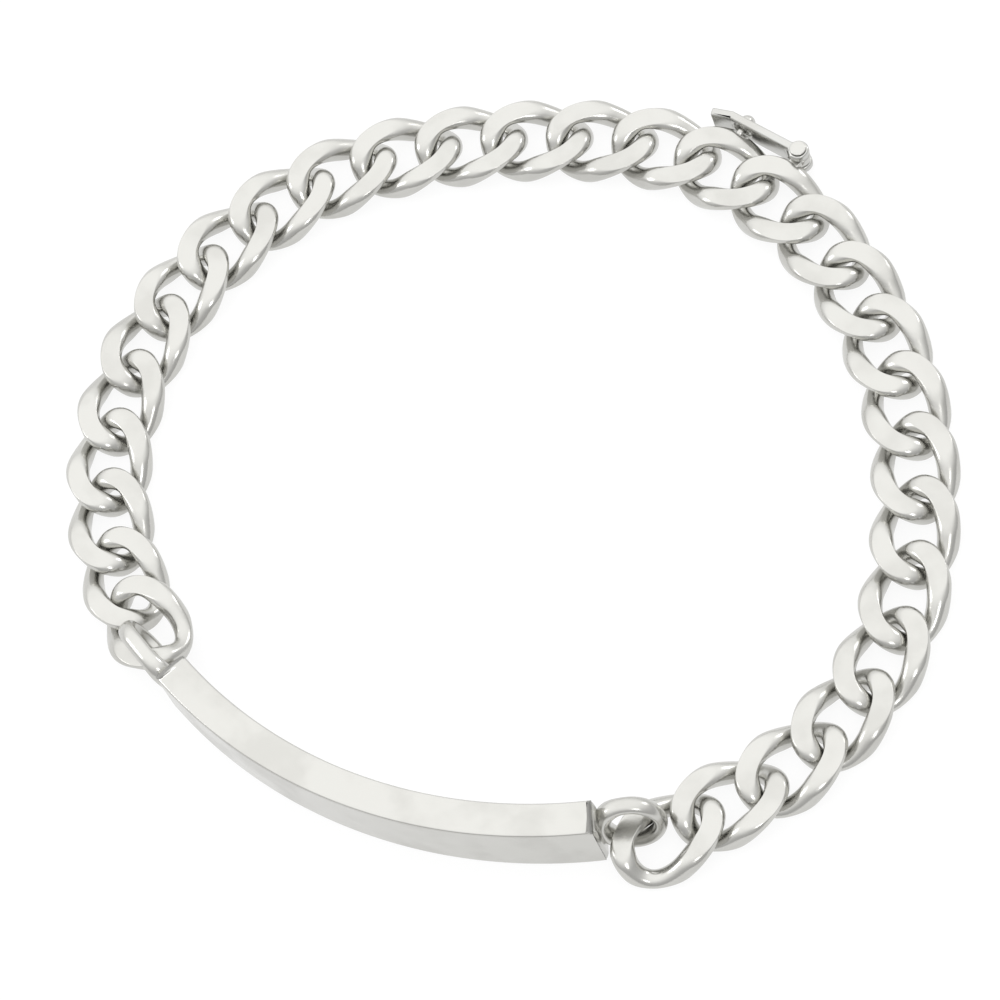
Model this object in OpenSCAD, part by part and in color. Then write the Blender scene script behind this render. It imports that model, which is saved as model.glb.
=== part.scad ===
// Identity bracelet: a curved blank plate standing on its long edge, and a chain of
// flat-ground curb links lying on its side that closes the loop.
// Millimetres, +Z up, the plate at the front (-Y), the origin on the ground under the
// middle of the whole bracelet.

/* [Chain] */
// Distance from one link's centre to the next
pitch = 5.5; // [5.45:0.05:5.55]
// Half length of a link, along the centre line of its wire
link_half_l = 3.82; // [3.8:0.01:3.88]
// Half width of a link, across the centre line of its wire
link_half_w = 2.61; // [2.6:0.01:2.68]
// How far the twist lifts the wire above and below the link's middle
twist_lift = 1.18; // [1.16:0.01:1.22]
// Height of a link between its two ground faces
link_h = 2.24; // [2.1:0.02:2.3]
// Half width of the wire where it is ground flat
face_half = 0.99; // [0.95:0.01:1]
// Half width of the wire at its narrow necks
neck_half = 0.86; // [0.8:0.01:0.9]
// Half thickness of the wire, across its flat
wire_half_t = 0.92; // [0.88:0.01:0.96]

/* [Plate] */
// Radius of the plate's inner face
plate_r = 39.6; // [39.4:0.1:39.8]
// Thickness of the plate
plate_t = 2.8; // [2.6:0.1:3]
// Height of the plate, from long edge to long edge
plate_h = 5.7; // [5.5:0.1:6]
// Half of the plate's arc, in degrees
plate_half_a = 27.3; // [27.1:0.1:27.5]
// Bevel along the plate's long edges
plate_bevel = 0.2; // [0.1:0.05:0.3]
// Distance that the plate sits nearer to its right loop than to its left one
plate_shift = 0.75; // [0.6:0.05:0.8]

/* [End loops] */
// Half thickness of a loop's wire
loop_wire_r = 0.56; // [0.5:0.02:0.6]
// Half width of a loop's wire, across the loop
loop_wire_w = 0.76; // [0.56:0.02:0.76]
// Radius of a loop's round end, to the centre of the wire
loop_r = 2.18; // [2.1:0.02:2.2]
// Length of the straight stretch between a loop's round ends, on average
loop_straight = 0.9; // [0.85:0.05:1]
// Distance from the plate's end to the middle of a loop, on average
loop_reach = 2.65; // [2.5:0.05:2.8]
// Shift of each loop across the plate's thickness, to the side that its top leans to
loop_shift = 0.4; // [0:0.1:0.5]
// How far the top of each loop leans, outward at the left and inward at the right, in degrees
loop_lean = 13; // [0:1:18]

/* [Safety catch] */
// Thickness of the catch
catch_t = 0.7; // [0.6:0.05:0.7]
// Height of the catch's bar
bar_h = 2.5; // [2.4:0.05:2.5]
// Distance from the hinge post to the middle of the eye
catch_l = 5.6; // [5.5:0.1:5.8]
// Length of the thumb tab, from the middle of the eye
tab_l = 2.8; // [2.6:0.1:3]
// Bend of the thumb tab towards the chain, in degrees
tab_bend = 18; // [12:1:20]
// Radius of the hole that closes over the stud
eye_hole_r = 0.85; // [0.82:0.01:0.88]
// Radius of the stud's ball
ball_r = 0.65; // [0.6:0.01:0.66]
// Distance of the ball's middle from the middle of the catch, away from the chain
ball_out = 0.42; // [0.3:0.02:0.5]
// Radius of the hinge pin
pin_r = 0.4; // [0.35:0.01:0.42]
// Outer radius of the hinge knuckles
knuckle_r = 0.85; // [0.8:0.01:0.88]

/* [Hidden] */
$fn = 64;
CHAIN_LINKS = 29;
STUD_LINK = 16;
HINGE_LINK = 17;

// Middle of the whole bracelet, seen from the centre of the plate's arc
middle = [-1, -8.8];

// Columns of the table of stretches
LINKS = 0;
TURN = 1;
// The chain beyond its second link: how many links, and how far each of them turns from the
// one before it, in degrees, clockwise seen from above
STRETCHES = [
    [9, 11.5],
    [3, 5.6],
    [4, 11.3],
    [6, 8],
    [4, 13.7]];
turns = [for (s = STRETCHES) for (k = [1 : s[LINKS]]) s[TURN]];

// Centre and heading of the chain's second link
second_link = [-27.02, -30.33];
second_heading = 135.6;
function along(a) = [cos(a), sin(a)];
// Centre and heading of each link that lies flat, from the second to the last but one
FLAT = [for (i = 0, p = second_link, a = second_heading; i <= len(turns);
    p = i < len(turns) ? p + pitch * along(a - turns[i] / 2) : p, a = i < len(turns) ? a - turns[i] : a,
    i = i + 1) [p, a]];

// Columns of a link's place: its centre, and its roll, tilt and heading in degrees
CENTRE = 0;
ATTITUDE = 1;
// The first and the last link hang in the plate's loops and slope down to the chain
FIRST_PLACE = [[-23.12, -33.45, 1.92], [-6.32, 8.77, 151.24]];
LAST_PLACE = [[24.01, -34.29, 1.26], [-2.2, -2.1, -120.8]];
function flat_place(f) = [[f[0].x, f[0].y, link_h / 2], [0, 0, f[1]]];
function link_place(i) = i == 1 ? FIRST_PLACE : i == CHAIN_LINKS ? LAST_PLACE : flat_place(FLAT[i - 2]);
function link_name(i) = str("link_", i < 10 ? "0" : "", i);

// Centre line of a link's wire at angle t round the link: an oval whose two long sides
// each rise on one half and sink on the other
function wire_centre(t) = [link_half_l * cos(t), link_half_w * sin(t), -twist_lift * sin(2 * t)];
function wire_along(t) = [-link_half_l * sin(t), link_half_w * cos(t), -2 * twist_lift * cos(2 * t)];
function unit(v) = v / norm(v);
// Level direction that points out of the link, square to the wire
function wire_out(t) = unit([link_half_w * cos(t), link_half_l * sin(t), 0]);
// Half width of the wire: wide where it is high, narrow at the low necks
function wire_half_w(t) = (face_half + neck_half) / 2 - (face_half - neck_half) / 2 * sin(2 * t);

// Corners of the wire's section, as shares of its half width and half thickness
WIRE_CORNERS = [[1, 0], [0.56, 0.87], [-0.56, 0.87], [-1, 0], [-0.56, -0.87], [0.56, -0.87]];
LINK_SIDES = 16;
function ground(p) = [p.x, p.y, min(max(p.z, -link_h / 2), link_h / 2)];
function wire_corner(t, c) = ground(wire_centre(t) + c[0] * wire_half_w(t) * wire_out(t)
    + c[1] * wire_half_t * cross(wire_out(t), unit(wire_along(t))));

module link_body() {
    n = len(WIRE_CORNERS);
    points = [for (i = [0 : LINK_SIDES - 1]) for (c = WIRE_CORNERS) wire_corner(i * 360 / LINK_SIDES, c)];
    faces = [for (i = [0 : LINK_SIDES - 1]) for (k = [0 : n - 1])
        let (here = i * n, next = (i + 1) % LINK_SIDES * n, m = (k + 1) % n)
        each [[here + k, here + m, next + m], [here + k, next + m, next + k]]];
    polyhedron(points, faces);
}

module laid_out() translate([-middle.x, -middle.y, 0]) children();

module chain_link(i) {
    place = link_place(i);
    color("silver") laid_out() {
        translate(place[CENTRE]) rotate(place[ATTITUDE]) link_body();
        if (i == STUD_LINK) at_hinge() stud();
        if (i == HINGE_LINK) at_hinge() hinge_post();
    }
}

// The plate

plate_mid_r = plate_r + plate_t / 2;

module plate_section() {
    outer_r = plate_r + plate_t;
    b = plate_bevel;
    polygon([
        [plate_r + b, 0], [outer_r - b, 0], [outer_r, b], [outer_r, plate_h - b],
        [outer_r - b, plate_h], [plate_r + b, plate_h], [plate_r, plate_h - b], [plate_r, b]]);
}

module wire_section(across) resize(across) circle(loop_wire_w);

module oval_ring(r, straight) {
    for (s = [-1, 1]) {
        translate([s * straight / 2, 0, 0]) rotate([0, 0, -90 * s])
            rotate_extrude(angle = 180)
            translate([r, 0]) wire_section([2 * loop_wire_r, 2 * loop_wire_w]);
        translate([-straight / 2, s * r, 0]) rotate([0, 90, 0])
            linear_extrude(straight) wire_section([2 * loop_wire_w, 2 * loop_wire_r]);
    }
}

// Side is -1 at the plate's left end and 1 at its right end
module end_loop(side) {
    rotate([0, 0, -90 + side * plate_half_a])
        translate([plate_mid_r - side * loop_shift, side * loop_reach + plate_shift / 2, plate_h / 2])
        rotate([0, -side * loop_lean, 0]) rotate([90, 0, 90])
        oval_ring(loop_r, loop_straight - side * plate_shift);
}

module id_plate() color("silver") laid_out() {
    rotate([0, 0, -90 - plate_half_a + plate_shift / plate_mid_r * 180 / PI])
        rotate_extrude(angle = 2 * plate_half_a, $fn = 360) plate_section();
    end_loop(-1);
    end_loop(1);
}

// The safety catch, its stud and its hinge

// The hinge's upright axis, and the direction from there to the eye
hinge_at = [9.1, 23];
catch_dir = 169.9;
eye_z = 1.75;
// Heights of the hinge's three knuckles: the catch has the lower and the upper one
LOWER_KNUCKLE = [0.45, 1.15];
FIXED_KNUCKLE = [1.3, 2.15];
UPPER_KNUCKLE = [2.3, 3];
pin_play = 0.1;
// The bridge from the fixed knuckle to its link
bridge_w = 1.1;
bridge_l = 1.9;
knuckle_step = 0.05;
PIN_HEAD = [3.05, 3.25];
pin_head_r = 0.65;
stud_neck_r = 0.35;
stud_neck_l = 1.7;
// The web that joins the catch's bar to its knuckles
web_at = 1.15;
web_l = 0.8;
tab_at = eye_hole_r + 0.2;

// X runs from the hinge's axis to the eye, Y points to the chain
module at_hinge() translate([hinge_at.x, hinge_at.y, 0]) rotate([0, 0, catch_dir]) children();

module knuckle(span, r) translate([0, 0, span[0]]) cylinder(r = r, h = span[1] - span[0]);

module hinge_post() {
    knuckle(FIXED_KNUCKLE, knuckle_r - knuckle_step);
    translate([-bridge_w / 2, 0, FIXED_KNUCKLE[0]])
        cube([bridge_w, bridge_l, FIXED_KNUCKLE[1] - FIXED_KNUCKLE[0]]);
    knuckle([LOWER_KNUCKLE[0], PIN_HEAD[1]], pin_r);
    knuckle(PIN_HEAD, pin_head_r);
}

module stud() {
    translate([catch_l, -ball_out, eye_z]) {
        sphere(ball_r);
        rotate([-90, 0, 0]) cylinder(r = stud_neck_r, h = stud_neck_l);
    }
}

// A plate that stands on edge, drawn from its side outline
module on_edge(t) translate([0, t / 2, 0]) rotate([90, 0, 0]) linear_extrude(t) children();

module safety_catch() color("gainsboro") laid_out() at_hinge() difference() {
    union() {
        on_edge(catch_t) {
            translate([web_at, eye_z - bar_h / 2]) square([catch_l + tab_at - web_at, bar_h]);
            translate([web_at, LOWER_KNUCKLE[0]])
                square([web_l, UPPER_KNUCKLE[1] - LOWER_KNUCKLE[0]]);
            for (span = [LOWER_KNUCKLE, UPPER_KNUCKLE])
                translate([0, span[0]]) square([web_at + web_l, span[1] - span[0]]);
        }
        translate([catch_l + tab_at, 0, 0]) {
            translate([0, 0, eye_z - bar_h / 2]) cylinder(r = catch_t / 2, h = bar_h);
            rotate([0, 0, tab_bend]) on_edge(catch_t)
                translate([0, eye_z - bar_h / 2]) square([tab_l - tab_at, bar_h]);
        }
        for (span = [LOWER_KNUCKLE, UPPER_KNUCKLE]) knuckle(span, knuckle_r);
    }
    cylinder(r = pin_r + pin_play, h = 2 * UPPER_KNUCKLE[1]);
    translate([catch_l, 0, eye_z]) rotate([90, 0, 0]) cylinder(r = eye_hole_r, h = bar_h, center = true);
}

id_plate();
for (i = [1 : CHAIN_LINKS]) chain_link(i);
safety_catch();
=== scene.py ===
# Identity bracelet in polished silver: a curved blank plate on its edge, and a curb chain on its side
from math import atan2, copysign, cos, exp, hypot, log1p, pi, radians, sin

import bmesh
import bpy
from mathutils import Matrix, Quaternion, Vector


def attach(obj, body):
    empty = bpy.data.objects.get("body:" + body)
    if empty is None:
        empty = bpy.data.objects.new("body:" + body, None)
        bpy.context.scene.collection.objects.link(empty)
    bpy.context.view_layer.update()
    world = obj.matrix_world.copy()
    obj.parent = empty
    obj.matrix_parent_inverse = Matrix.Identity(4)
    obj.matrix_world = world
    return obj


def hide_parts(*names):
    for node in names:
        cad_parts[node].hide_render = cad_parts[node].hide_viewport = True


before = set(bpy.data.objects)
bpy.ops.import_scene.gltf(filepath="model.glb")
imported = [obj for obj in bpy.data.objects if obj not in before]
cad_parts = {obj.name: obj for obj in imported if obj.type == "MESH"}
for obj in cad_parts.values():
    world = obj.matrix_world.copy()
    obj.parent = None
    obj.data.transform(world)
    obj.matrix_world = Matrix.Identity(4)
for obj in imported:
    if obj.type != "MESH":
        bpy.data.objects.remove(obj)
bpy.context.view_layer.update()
mm = 0.001
middle = Vector((-1, -8.8, 0))  # of the whole bracelet, in mm, seen from the centre of the plate's arc
print("frame loaded:", len(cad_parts), "nodes")


# shared tools

def heading(angle):
    return Vector((cos(radians(angle)), sin(radians(angle)), 0))


def placed(spot, roll, tilt, turn):
    return (Matrix.Translation(Vector(spot) - middle) @ Matrix.Rotation(radians(turn), 4, "Z")
            @ Matrix.Rotation(radians(tilt), 4, "Y") @ Matrix.Rotation(radians(roll), 4, "X"))


def smoothStep(low, high, x):
    share = min(max((x - low) / (high - low), 0), 1)
    return share * share * (3 - 2 * share)


def spunWire(steps, sides, wireAt, square=2, grind=None):
    # a ring is spun from a circle, then its points are moved along the wire's own line
    bm = bmesh.new()
    ringRadius = 4
    upright = Matrix.Translation((ringRadius, 0, 0)) @ Matrix.Rotation(pi / 2, 4, "X")
    bmesh.ops.create_circle(bm, segments=sides, radius=1, matrix=upright)
    bmesh.ops.spin(bm, geom=bm.verts[:] + bm.edges[:], cent=(0, 0, 0), axis=(0, 0, 1),
                   angle=2 * pi, steps=steps, use_merge=True)
    bmesh.ops.remove_doubles(bm, verts=bm.verts, dist=1e-4)
    for v in bm.verts:
        centre, out, up = wireAt(atan2(v.co.y, v.co.x))
        across, rise = hypot(v.co.x, v.co.y) - ringRadius, v.co.z
        spot = (centre + copysign(abs(across) ** (2 / square), across) * out
                + copysign(abs(rise) ** (2 / square), rise) * up)
        v.co = grind(spot, centre) if grind else spot
    bmesh.ops.recalc_face_normals(bm, faces=bm.faces)
    return bm


cornerAngle = 45  # degrees; an edge sharper than this is a corner


def sharpEdges(bm, angle):
    return [e for e in bm.edges if e.is_manifold and e.calc_face_angle() > radians(angle)]


def finishPiece(name, bm, material, body, nodes, place=None):
    mesh = bpy.data.meshes.new(name)
    bm.to_mesh(mesh)
    bm.free()
    return meshPiece(name, mesh, material, body, nodes, place)


def meshPiece(name, mesh, material, body, nodes, place=None):
    mesh.transform(Matrix.Scale(mm, 4) @ (place or Matrix.Translation(-middle)))
    mesh.materials.clear()
    mesh.materials.append(material)
    for face in mesh.polygons:
        face.use_smooth = True
    piece = bpy.data.objects.new(name, mesh)
    bpy.context.scene.collection.objects.link(piece)
    weighted = piece.modifiers.new("evenShading", "WEIGHTED_NORMAL")
    weighted.keep_sharp = True
    weighted.weight = 80
    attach(piece, body)
    if nodes:
        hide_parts(*nodes)
    return piece


# polished silver

silver = {
    "tint": (0.57, 0.566, 0.54, 1),
    "dull": (0.52, 0.515, 0.49, 1),
    "rough": 0.21,
    "smudge": 0.06,
    "smudgeSize": 260,
    "scratchSize": 700,
    "scratchDepth": 0.012,
    "waveSize": 420,
    "waveDepth": 0.05,
}
catchSilver = dict(silver, rough=0.22, tint=(0.55, 0.55, 0.53, 1), scratchDepth=0.02)
grain = {
    "smudgeDetail": 4,
    "smudgeRange": (0.4, 0.7),  # of the noise, from clean to smudged
    "scratchDetail": 2,
    "scratchRuns": ((25, (1, 14, 6)), (-50, (12, 1, 6))),  # direction and stretch of each set
}


def makeWearGroup():
    group = bpy.data.node_groups.new("polishedWear", "ShaderNodeTree")
    for label, kind, default in (
            ("Tint", "NodeSocketColor", (0.9, 0.9, 0.9, 1)),
            ("Dull", "NodeSocketColor", (0.8, 0.8, 0.8, 1)),
            ("Rough", "NodeSocketFloat", 0.1), ("Smudge", "NodeSocketFloat", 0.1),
            ("Smudge Size", "NodeSocketFloat", 250), ("Scratch Size", "NodeSocketFloat", 700),
            ("Scratch Depth", "NodeSocketFloat", 0.01), ("Wave Size", "NodeSocketFloat", 400),
            ("Wave Depth", "NodeSocketFloat", 0.05)):
        group.interface.new_socket(label, in_out="INPUT", socket_type=kind).default_value = default
    for label, kind in (("Color", "NodeSocketColor"), ("Roughness", "NodeSocketFloat"),
                        ("Normal", "NodeSocketVector")):
        group.interface.new_socket(label, in_out="OUTPUT", socket_type=kind)
    nodes, links = group.nodes, group.links
    given = nodes.new("NodeGroupInput")
    result = nodes.new("NodeGroupOutput")
    coords = nodes.new("ShaderNodeTexCoord")

    smudges = nodes.new("ShaderNodeTexNoise")
    smudges.inputs["Detail"].default_value = grain["smudgeDetail"]
    links.new(coords.outputs["Object"], smudges.inputs["Vector"])
    links.new(given.outputs["Smudge Size"], smudges.inputs["Scale"])
    spread = nodes.new("ShaderNodeMapRange")
    spread.interpolation_type = "SMOOTHSTEP"
    spread.inputs["From Min"].default_value, spread.inputs["From Max"].default_value = grain["smudgeRange"]
    links.new(smudges.outputs["Fac"], spread.inputs["Value"])

    roughness = nodes.new("ShaderNodeMath")
    roughness.operation = "MULTIPLY_ADD"
    links.new(spread.outputs["Result"], roughness.inputs[0])
    links.new(given.outputs["Smudge"], roughness.inputs[1])
    links.new(given.outputs["Rough"], roughness.inputs[2])
    links.new(roughness.outputs[0], result.inputs["Roughness"])

    colour = nodes.new("ShaderNodeMix")
    colour.data_type = "RGBA"
    links.new(spread.outputs["Result"], colour.inputs["Factor"])
    links.new(given.outputs["Tint"], colour.inputs[6])
    links.new(given.outputs["Dull"], colour.inputs[7])
    links.new(colour.outputs[2], result.inputs["Color"])

    # scratches run in two directions, as thin stretched noise
    heights = []
    for angle, stretch in grain["scratchRuns"]:
        mapping = nodes.new("ShaderNodeMapping")
        mapping.inputs["Rotation"].default_value = (0, 0, radians(angle))
        mapping.inputs["Scale"].default_value = stretch
        links.new(coords.outputs["Object"], mapping.inputs["Vector"])
        scratch = nodes.new("ShaderNodeTexNoise")
        scratch.inputs["Detail"].default_value = grain["scratchDetail"]
        links.new(mapping.outputs["Vector"], scratch.inputs["Vector"])
        links.new(given.outputs["Scratch Size"], scratch.inputs["Scale"])
        heights.append(scratch.outputs["Fac"])
    both = nodes.new("ShaderNodeMath")
    both.operation = "ADD"
    links.new(heights[0], both.inputs[0])
    links.new(heights[1], both.inputs[1])
    waves = nodes.new("ShaderNodeTexNoise")
    waves.inputs["Detail"].default_value = 0
    links.new(coords.outputs["Object"], waves.inputs["Vector"])
    links.new(given.outputs["Wave Size"], waves.inputs["Scale"])

    wavy = nodes.new("ShaderNodeBump")
    wavy.inputs["Distance"].default_value = mm
    links.new(waves.outputs["Fac"], wavy.inputs["Height"])
    links.new(given.outputs["Wave Depth"], wavy.inputs["Strength"])
    scratched = nodes.new("ShaderNodeBump")
    scratched.inputs["Distance"].default_value = mm
    links.new(both.outputs[0], scratched.inputs["Height"])
    links.new(given.outputs["Scratch Depth"], scratched.inputs["Strength"])
    links.new(wavy.outputs["Normal"], scratched.inputs["Normal"])
    links.new(scratched.outputs["Normal"], result.inputs["Normal"])
    return group


def silverMaterial(name, finish, wear):
    material = bpy.data.materials.new(name)
    material.use_nodes = True
    nodes, links = material.node_tree.nodes, material.node_tree.links
    shader = nodes["Principled BSDF"]
    shader.inputs["Metallic"].default_value = 1
    worn = nodes.new("ShaderNodeGroup")
    worn.node_tree = wear
    for socket, key in (("Tint", "tint"), ("Dull", "dull"), ("Rough", "rough"), ("Smudge", "smudge"),
                        ("Smudge Size", "smudgeSize"), ("Scratch Size", "scratchSize"),
                        ("Scratch Depth", "scratchDepth"), ("Wave Size", "waveSize"),
                        ("Wave Depth", "waveDepth")):
        worn.inputs[socket].default_value = finish[key]
    links.new(worn.outputs["Color"], shader.inputs["Base Color"])
    links.new(worn.outputs["Roughness"], shader.inputs["Roughness"])
    links.new(worn.outputs["Normal"], shader.inputs["Normal"])
    return material


wear = makeWearGroup()
silverMat = silverMaterial("polishedSilver", silver, wear)
catchMat = silverMaterial("catchSilver", catchSilver, wear)
print("materials made")


# curb links

link = {
    "halfLength": 3.82,
    "halfWidth": 2.61,
    "lift": 1.18,  # of the twist, above and below the middle
    "height": 2.24,
    "faceHalf": 0.99,
    "neckHalf": 0.86,
    "thickHalf": 0.92,
    "square": 2.1,  # 2 is a round wire, and more is squarer
    "soft": 0.15,  # how softly the flats run into the wire
    "rim": 0.18,  # how far the rims of the flats are rounded over, as a share of the half width
    "rimDepth": 0.5,
    "steps": 128,
    "sides": 64,
    "glance": 0.02,  # how far ahead and behind the wire's direction is read
}

chain = {
    "pitch": 5.5,
    "first": ((-23.12, -33.45, 1.92), -6.32, 8.77, 151.24),  # place; roll, tilt and heading
    "second": (-27.02, -30.33),
    "heading": 135.6,
    "stretches": ((9, 11.5), (3, 5.6), (4, 11.3), (6, 8), (4, 13.7)),  # links, and the turn of each
    "last": ((24.01, -34.29, 1.26), -2.2, -2.1, -120.8),
}


def linkLine(turn):
    return Vector((link["halfLength"] * cos(turn), link["halfWidth"] * sin(turn),
                   -link["lift"] * sin(2 * turn)))


def linkWire(turn):
    along = (linkLine(turn + link["glance"]) - linkLine(turn - link["glance"])).normalized()
    out = Vector((along.y, -along.x, 0)).normalized()
    wide = smoothStep(-1, 1, -sin(2 * turn))
    half = link["neckHalf"] + (link["faceHalf"] - link["neckHalf"]) * wide
    return linkLine(turn), half * out, link["thickHalf"] * out.cross(along)


def grindLink(spot, centre):
    # the top and the bottom are flattened, and the rims of the flats are rounded over
    top, soft = link["height"] / 2, link["soft"]
    height = top - soft * log1p(exp((top - abs(spot.z)) / soft))
    inset = 1 - link["rim"] * smoothStep(top - link["rimDepth"], top, height)
    return Vector((centre.x + inset * (spot.x - centre.x), centre.y + inset * (spot.y - centre.y),
                   copysign(height, spot.z)))


def linkPlaces():
    places = [placed(*chain["first"])]
    spot, way = Vector((*chain["second"], link["height"] / 2)), chain["heading"]
    places.append(placed(spot, 0, 0, way))
    for count, turn in chain["stretches"]:
        for _ in range(count):
            spot = spot + chain["pitch"] * heading(way - turn / 2)
            way -= turn
            places.append(placed(spot, 0, 0, way))
    places.append(placed(*chain["last"]))
    return places


linkShape = spunWire(link["steps"], link["sides"], linkWire, link["square"], grindLink)
linkMesh = bpy.data.meshes.new("curbLink")
linkShape.to_mesh(linkMesh)
linkShape.free()
for number, place in enumerate(linkPlaces(), 1):
    meshPiece(f"curbLink{number:02d}", linkMesh.copy(), silverMat, "bracelet",
              [f"link_{number:02d}"], place)
print("chain made:", number, "links of", len(linkMesh.polygons), "faces")


# identity plate with its soldered end loops

plate = {
    "innerRadius": 39.6,
    "thick": 2.8,
    "height": 5.7,
    "halfArc": 27.3,
    "shift": 0.75,  # the plate sits nearer to its right loop
    "edge": 0.22,
    "endEdge": 0.5,
    "steps": 96,
}
endLoop = {
    "radius": 2.18,
    "straight": 0.9,
    "wire": 0.54,
    "band": 0.74,  # half width of the wire across the loop
    "root": (0.7, 0.9),  # both where the wire is soldered on
    "rootRun": (0.1, 0.9),  # where the wire starts and stops growing towards the plate
    "reach": 2.65,
    "shift": 0.4,
    "lean": 13,
    "steps": 72,
    "sides": 20,
}


def makeBar():
    bm = bmesh.new()
    shift = plate["shift"] / (plate["innerRadius"] + plate["thick"] / 2)
    section = (Matrix.Rotation(radians(-90 - plate["halfArc"]) + shift, 4, "Z")
               @ Matrix.Translation((plate["innerRadius"] + plate["thick"] / 2, 0, plate["height"] / 2))
               @ Matrix.Rotation(pi / 2, 4, "X")
               @ Matrix.Diagonal((plate["thick"] / 2, plate["height"] / 2, 1, 1)))
    bmesh.ops.create_grid(bm, x_segments=1, y_segments=1, size=1, matrix=section)
    bmesh.ops.spin(bm, geom=bm.verts[:] + bm.edges[:] + bm.faces[:], cent=(0, 0, 0), axis=(0, 0, 1),
                   angle=radians(2 * plate["halfArc"]), steps=plate["steps"])
    bmesh.ops.recalc_face_normals(bm, faces=bm.faces)
    # the edges of the two ends are the ones between corners
    across = [e for e in sharpEdges(bm, cornerAngle) if all(len(v.link_edges) == 3 for v in e.verts)]
    bmesh.ops.bevel(bm, geom=across, offset=plate["endEdge"], segments=4, profile=0.5,
                    material=-1, affect="EDGES")
    bmesh.ops.bevel(bm, geom=sharpEdges(bm, cornerAngle), offset=plate["edge"], segments=3, profile=0.5,
                    material=-1, affect="EDGES")
    return bm


def makeLoop(side):  # -1 at the plate's left end, 1 at its right end
    straight = endLoop["straight"] - side * plate["shift"]

    def wire(turn):
        out = Vector((cos(turn), sin(turn), 0))
        centre = endLoop["radius"] * out + Vector((copysign(straight / 2, cos(turn)), 0, 0))
        root = smoothStep(*endLoop["rootRun"], -side * cos(turn))
        half = endLoop["wire"] + (endLoop["root"][0] - endLoop["wire"]) * root
        band = endLoop["band"] + (endLoop["root"][1] - endLoop["band"]) * root
        return centre, half * out, Vector((0, 0, band))
    bm = spunWire(endLoop["steps"], endLoop["sides"], wire)
    place = (Matrix.Rotation(radians(-90 + side * plate["halfArc"]), 4, "Z")
             @ Matrix.Translation((plate["innerRadius"] + plate["thick"] / 2 - side * endLoop["shift"],
                                   side * endLoop["reach"] + plate["shift"] / 2, plate["height"] / 2))
             @ Matrix.Rotation(radians(-side * endLoop["lean"]), 4, "Y")
             @ Matrix.Rotation(pi / 2, 4, "Z") @ Matrix.Rotation(pi / 2, 4, "X"))
    bm.transform(place)
    return bm


def join(target, extra):
    mesh = bpy.data.meshes.new("part")
    extra.to_mesh(mesh)
    extra.free()
    target.from_mesh(mesh)
    bpy.data.meshes.remove(mesh)


plateShape = makeBar()
for side in (-1, 1):
    join(plateShape, makeLoop(side))
finishPiece("identityPlate", plateShape, silverMat, "bracelet", ["id_plate"])
print("plate made")


# safety catch, with its hinge post and its stud

hinge = {
    "at": (9.1, 23),
    "turn": 169.9,
    "post": (1.3, 2.15),
    "pin": (0.45, 3.1),
    "pinRadius": 0.4,
    "rivet": (0.68, 0.13),
    "knuckle": 0.8,
    "bridge": (1.1, 1.9),
    "studReach": 5.6,
    "studHeight": 1.75,
    "ball": 0.67,
    "ballOut": 0.42,
    "neck": (0.35, 1.7),
}
catch = {
    "edge": 0.16,
    "flat": 1,  # faces that meet at less than this many degrees are one
    "corner": 40,  # and an edge sharper than this is rounded
}
hingePlace = placed((*hinge["at"], 0), 0, 0, hinge["turn"])


def rod(bm, radius, length, place, segments=32):
    bmesh.ops.create_cone(bm, cap_ends=True, cap_tris=False, segments=segments, radius1=radius,
                          radius2=radius, depth=length, matrix=place)


def makeHingePost():
    bm = bmesh.new()
    low, high = hinge["post"]
    rod(bm, hinge["knuckle"], high - low, Matrix.Translation((0, 0, (low + high) / 2)))
    low, high = hinge["pin"]
    rod(bm, hinge["pinRadius"], high - low, Matrix.Translation((0, 0, (low + high) / 2)))
    width, length = hinge["bridge"]
    low, high = hinge["post"]
    bmesh.ops.create_cube(bm, size=1, matrix=Matrix.Translation((0, length / 2, (low + high) / 2))
                          @ Matrix.Diagonal((width, length, high - low, 1)))
    bmesh.ops.bevel(bm, geom=sharpEdges(bm, cornerAngle), offset=catch["edge"], segments=2, profile=0.5,
                    material=-1, affect="EDGES")
    radius, rise = hinge["rivet"]
    bmesh.ops.create_uvsphere(bm, u_segments=32, v_segments=16, radius=1,
                              matrix=Matrix.Translation((0, 0, hinge["pin"][1] + rise / 2))
                              @ Matrix.Diagonal((radius, radius, rise, 1)))
    return bm


def makeStud():
    bm = bmesh.new()
    place = Matrix.Translation((hinge["studReach"], -hinge["ballOut"], hinge["studHeight"]))
    bmesh.ops.create_uvsphere(bm, u_segments=32, v_segments=20, radius=hinge["ball"], matrix=place)
    radius, length = hinge["neck"]
    rod(bm, radius, length,
        place @ Matrix.Translation((0, length / 2, 0)) @ Matrix.Rotation(pi / 2, 4, "X"))
    return bm


def makeCatch():
    bm = bmesh.new()
    bm.from_mesh(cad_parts["safety_catch"].data)
    bmesh.ops.remove_doubles(bm, verts=bm.verts, dist=1e-6)
    bm.transform(Matrix.Scale(1 / mm, 4))
    bmesh.ops.dissolve_limit(bm, angle_limit=radians(catch["flat"]), verts=bm.verts, edges=bm.edges)
    bmesh.ops.bevel(bm, geom=sharpEdges(bm, catch["corner"]), offset=catch["edge"], segments=2, profile=0.5,
                    material=-1, affect="EDGES")
    return bm


finishPiece("hingePost", makeHingePost(), silverMat, "bracelet", [], hingePlace)
finishPiece("catchStud", makeStud(), silverMat, "bracelet", [], hingePlace)
finishPiece("safetyCatch", makeCatch(), catchMat, "catch", ["safety_catch"],
            Matrix.Identity(4))
print("safety catch made")


# floor, light and camera

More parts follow.
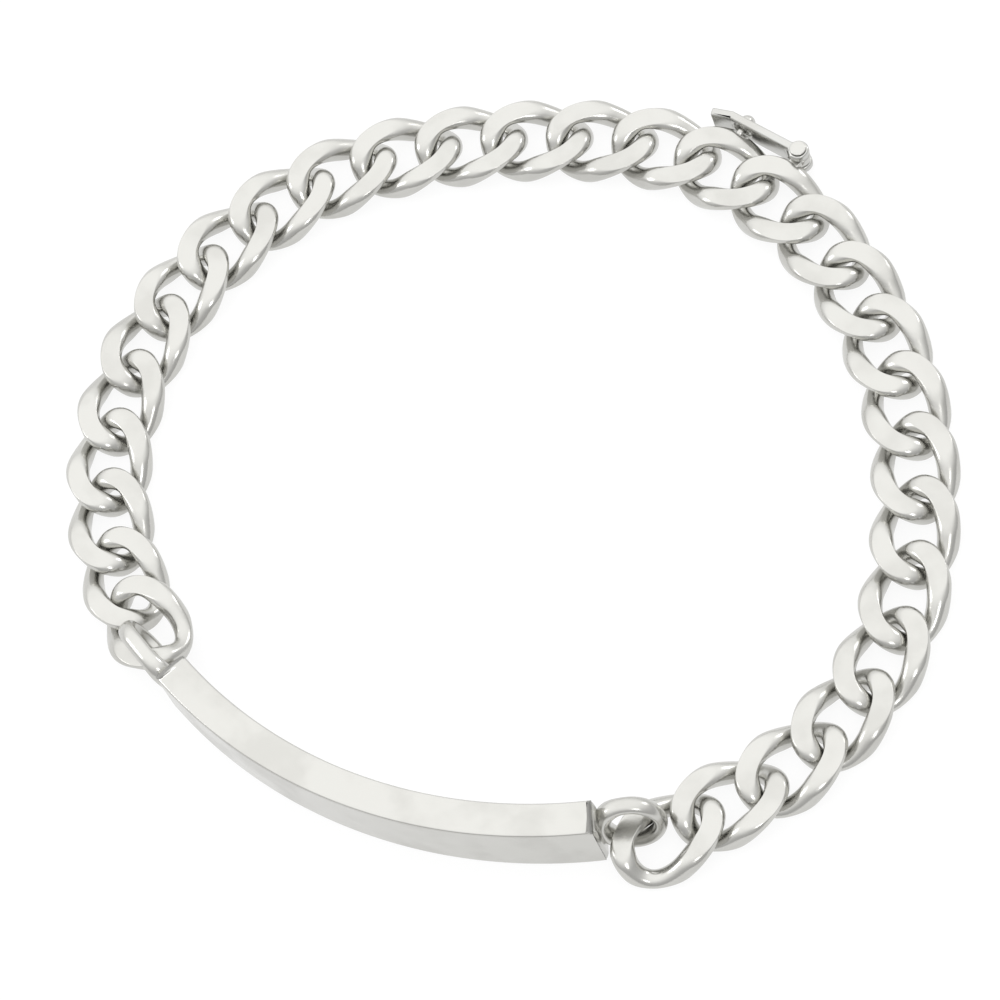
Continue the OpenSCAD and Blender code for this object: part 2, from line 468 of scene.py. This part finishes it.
studio = {
    "floorSize": 3,
    "floorColour": (0.12, 0.12, 0.12, 1),
    "floorRough": 0.9,
    "floorGlow": 0.87,
    "sky": ((0.45, 0.6), (0.58, 0.7), (0.68, 0.9), (0.8, 1.3), (0.92, 1.5), (1.0, 1.52)),
    "skyStrength": 1.0,
    "skyTop": (-0.32, 0.27, 0.91),  # the tent is brightest behind the bracelet
    "lights": (  # place, size and power
        ((0.55, -0.5, 0.75), 0.2, 0.8),
        ((-0.8, -0.4, 0.5), 0.25, 0.8),
        ((0.35, 0.85, 0.45), 0.2, 0.6)),
}
camera = {
    "aim": (-0.54 * mm, -3.91 * mm, 0),
    "azimuth": 49.8,
    "elevation": 61.4,
    "roll": 26.6,
    "distance": 398.5 * mm,
    "lens": 180,
    "sensor": 36,
    "sees": (0.01, 20),  # nearest and furthest, in metres
}


def makeFloor():
    bm = bmesh.new()
    bmesh.ops.create_grid(bm, x_segments=1, y_segments=1, size=studio["floorSize"])
    mesh = bpy.data.meshes.new("floor")
    bm.to_mesh(mesh)
    bm.free()
    material = bpy.data.materials.new("paleFloor")
    material.use_nodes = True
    shader = material.node_tree.nodes["Principled BSDF"]
    shader.inputs["Base Color"].default_value = studio["floorColour"]
    shader.inputs["Roughness"].default_value = studio["floorRough"]
    shader.inputs["Emission Color"].default_value = (1, 1, 1, 1)
    shader.inputs["Emission Strength"].default_value = studio["floorGlow"]
    mesh.materials.append(material)
    floor = bpy.data.objects.new("floor", mesh)
    bpy.context.scene.collection.objects.link(floor)


def makeSky():
    world = bpy.data.worlds.new("lightTent")
    world.use_nodes = True
    nodes, links = world.node_tree.nodes, world.node_tree.links
    coords = nodes.new("ShaderNodeTexCoord")
    split = nodes.new("ShaderNodeVectorMath")
    split.operation = "DOT_PRODUCT"
    split.inputs[1].default_value = studio["skyTop"]
    rise = nodes.new("ShaderNodeMapRange")
    rise.inputs["From Min"].default_value = -1
    ramp = nodes.new("ShaderNodeValToRGB")
    stops = ramp.color_ramp.elements
    while len(stops) < len(studio["sky"]):
        stops.new(0.5)
    for stop, (place, value) in zip(stops, studio["sky"]):
        stop.position = place
        stop.color = (value, value, value, 1)
    links.new(coords.outputs["Generated"], split.inputs[0])
    links.new(split.outputs["Value"], rise.inputs["Value"])
    links.new(rise.outputs["Result"], ramp.inputs["Fac"])
    links.new(ramp.outputs["Color"], nodes["Background"].inputs["Color"])
    nodes["Background"].inputs["Strength"].default_value = studio["skyStrength"]
    bpy.context.scene.world = world


def makeLights():
    for number, (place, size, power) in enumerate(studio["lights"], 1):
        light = bpy.data.lights.new(f"softbox{number}", "AREA")
        light.size = size
        light.energy = power
        lamp = bpy.data.objects.new(light.name, light)
        lamp.location = place
        lamp.rotation_mode = "QUATERNION"
        lamp.rotation_quaternion = (-Vector(place)).to_track_quat("-Z", "Y")
        bpy.context.scene.collection.objects.link(lamp)


def makeCamera():
    data = bpy.data.cameras.new("camera")
    data.lens = camera["lens"]
    data.sensor_width = camera["sensor"]
    data.clip_start, data.clip_end = camera["sees"]
    view = bpy.data.objects.new("camera", data)
    azimuth, elevation = radians(camera["azimuth"]), radians(camera["elevation"])
    back = Vector((sin(azimuth) * cos(elevation), -cos(azimuth) * cos(elevation), sin(elevation)))
    view.location = Vector(camera["aim"]) + camera["distance"] * back
    view.rotation_mode = "QUATERNION"
    view.rotation_quaternion = ((-back).to_track_quat("-Z", "Y")
                                @ Quaternion((0, 0, 1), radians(-camera["roll"])))
    bpy.context.scene.collection.objects.link(view)
    bpy.context.scene.camera = view


makeFloor()
makeSky()
makeLights()
makeCamera()
bpy.context.scene.view_settings.view_transform = "Standard"
print("studio made")
